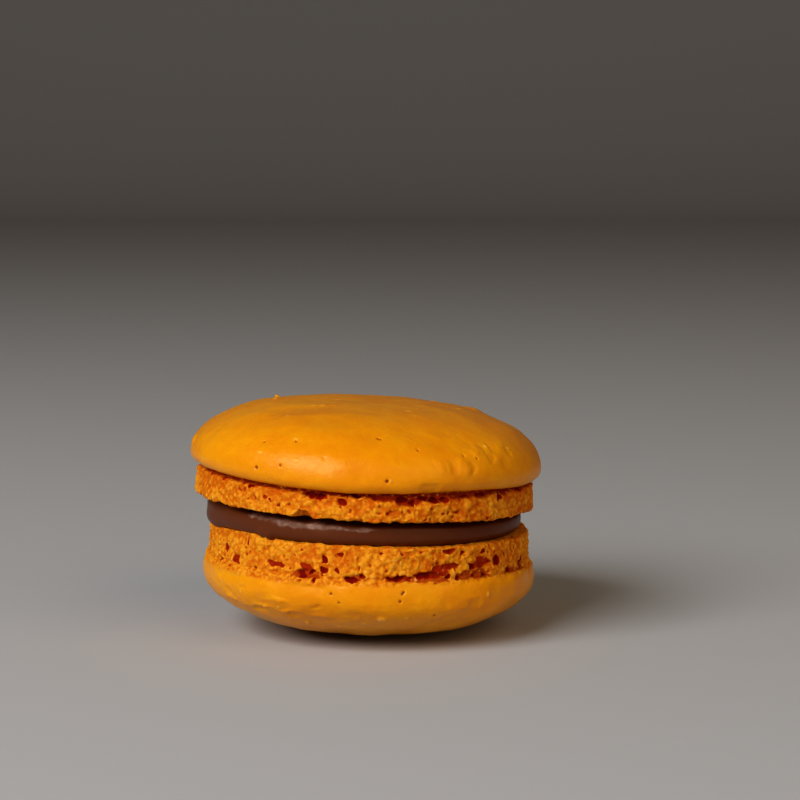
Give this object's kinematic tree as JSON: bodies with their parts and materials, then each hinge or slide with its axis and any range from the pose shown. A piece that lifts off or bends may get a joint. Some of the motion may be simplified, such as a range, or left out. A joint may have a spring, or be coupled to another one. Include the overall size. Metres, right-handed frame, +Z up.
{
  "type": "french macaron",
  "caption": "Round sandwich biscuit: two smooth domed meringue shells with rough, craggy feet, joined by a layer of chocolate ganache that shows all round the side.",
  "frame": {"origin": "on the floor, under the middle of the macaron's box as it rests", "axes": "+Z up, -Y towards the front of the macaron, +X to its right, the side that leans lower"},
  "size_m": [0.0452, 0.0452, 0.0297],
  "materials": {
    "meringue": "baked almond meringue, orange yellow, satin skin on the dome and a rough, porous foot",
    "ganache": "dark chocolate ganache, set, with a soft sheen"
  },
  "bodies": {
    "root": {"upper_shell": "meringue", "ganache": "ganache", "lower_shell": "meringue"}
  },
  "joints": []
}
